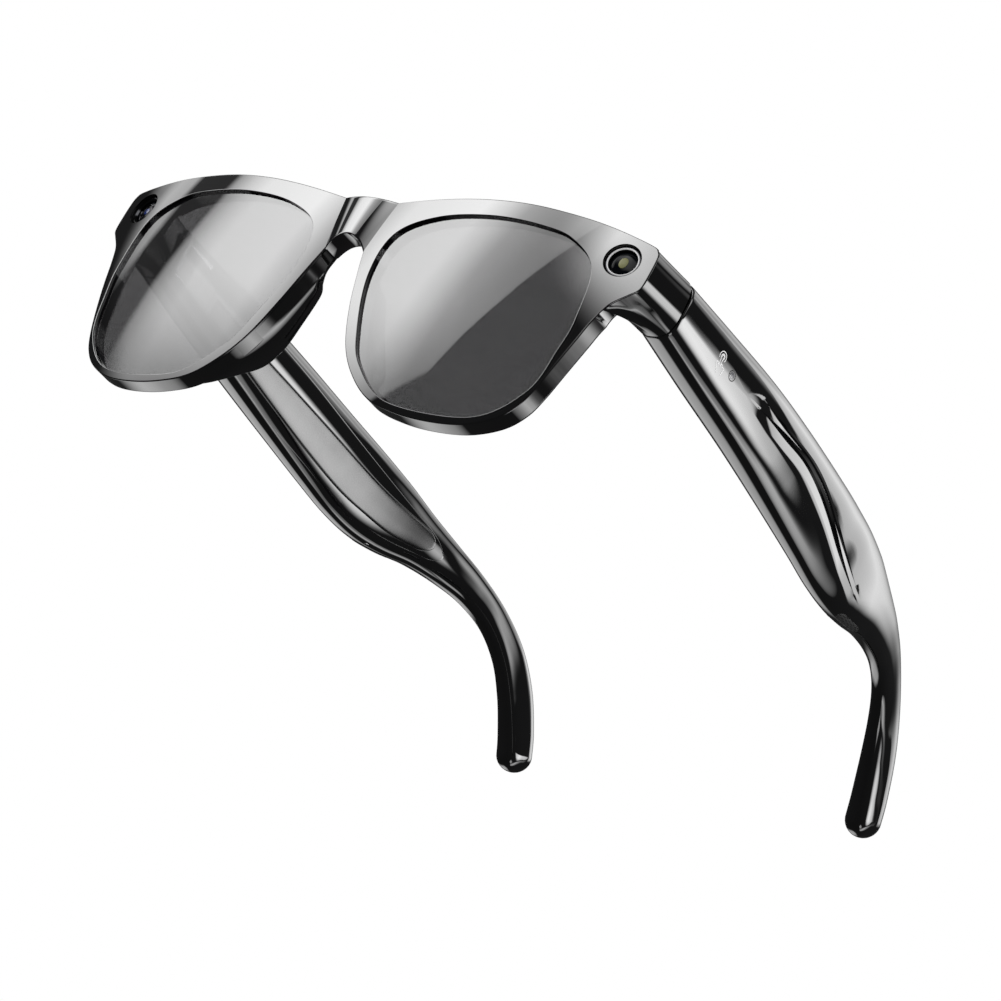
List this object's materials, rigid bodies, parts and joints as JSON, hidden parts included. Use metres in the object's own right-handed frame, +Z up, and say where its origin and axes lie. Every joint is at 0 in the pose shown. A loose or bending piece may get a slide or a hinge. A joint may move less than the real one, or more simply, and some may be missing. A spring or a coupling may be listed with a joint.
{
  "type": "smart glasses",
  "caption": "Glossy camera glasses with clear grey lenses, a camera and a light in the corners, and deep folding temples with curved tips.",
  "frame": {"origin": "middle of the bounding box at the height of the surface that the open glasses stand on", "axes": "+Z up, -Y the way the wearer looks, +X towards the wearer's left; the temples run along +Y"},
  "size_m": [0.1406, 0.1646, 0.0485],
  "materials": {
    "gloss_black": "polished",
    "satin_black": "satin",
    "lens_grey": "polished",
    "dark_glass": "polished",
    "hinge_steel": "satin",
    "bezel_metal": "satin",
    "contact_gold": "polished",
    "board_green": "satin",
    "flex_amber": "satin",
    "cell_silver": "satin",
    "emitter_yellow": "satin",
    "light_pipe": "polished"
  },
  "bodies": {
    "front": {"front_frame": "gloss_black", "lens_left": "lens_grey", "lens_right": "lens_grey", "nose_pad_left": "satin_black", "nose_pad_right": "satin_black", "brow_cover": "gloss_black", "brow_flex": "flex_amber", "camera_bezel": "bezel_metal", "camera_window": "dark_glass", "camera_barrel": "satin_black", "camera_sensor": "board_green", "light_bezel": "bezel_metal", "light_window": "dark_glass", "light_emitter": "emitter_yellow", "light_board": "board_green", "hinge_front_left": "hinge_steel", "hinge_front_right": "hinge_steel", "hinge_pin_left": "hinge_steel", "hinge_pin_right": "hinge_steel"},
    "temple_left": {"temple_shell_left": "gloss_black", "temple_cover_left": "satin_black", "hinge_temple_left": "hinge_steel", "battery_left": "cell_silver", "touch_sensor": "flex_amber", "status_light": "light_pipe", "speaker_left": "satin_black", "speaker_grille_left": "hinge_steel", "charge_contact_1": "contact_gold", "charge_contact_2": "contact_gold"},
    "temple_right": {"temple_shell_right": "gloss_black", "temple_cover_right": "satin_black", "hinge_temple_right": "hinge_steel", "battery_right": "cell_silver", "main_board": "board_green", "processor_shield": "hinge_steel", "speaker_right": "satin_black", "speaker_grille_right": "hinge_steel", "capture_switch": "hinge_steel"},
    "capture_button": {"capture_button": "gloss_black"},
    "power_slide": {"power_slide": "satin_black"}
  },
  "joints": [
    {"name": "hinge_left", "type": "hinge", "parent": "front", "child": "temple_left", "pos_m": [0.0606, -0.06329, 0.03851], "axis": [-0.0209, 0.0096, 0.9997], "range_deg": [0, 88]},
    {"name": "hinge_right", "type": "hinge", "parent": "front", "child": "temple_right", "pos_m": [-0.0606, -0.06329, 0.03851], "axis": [-0.0209, -0.0096, -0.9997], "range_deg": [0, 75]},
    {"name": "capture_press", "type": "slide", "parent": "temple_right", "child": "capture_button", "axis": [0, -0.0096, -1], "range_m": [0, 0.0004], "stiffness_N_per_m": 1500},
    {"name": "power_slide", "type": "slide", "parent": "temple_left", "child": "power_slide", "axis": [0, 1, -0.0096], "range_m": [0, 0.002]}
  ]
}
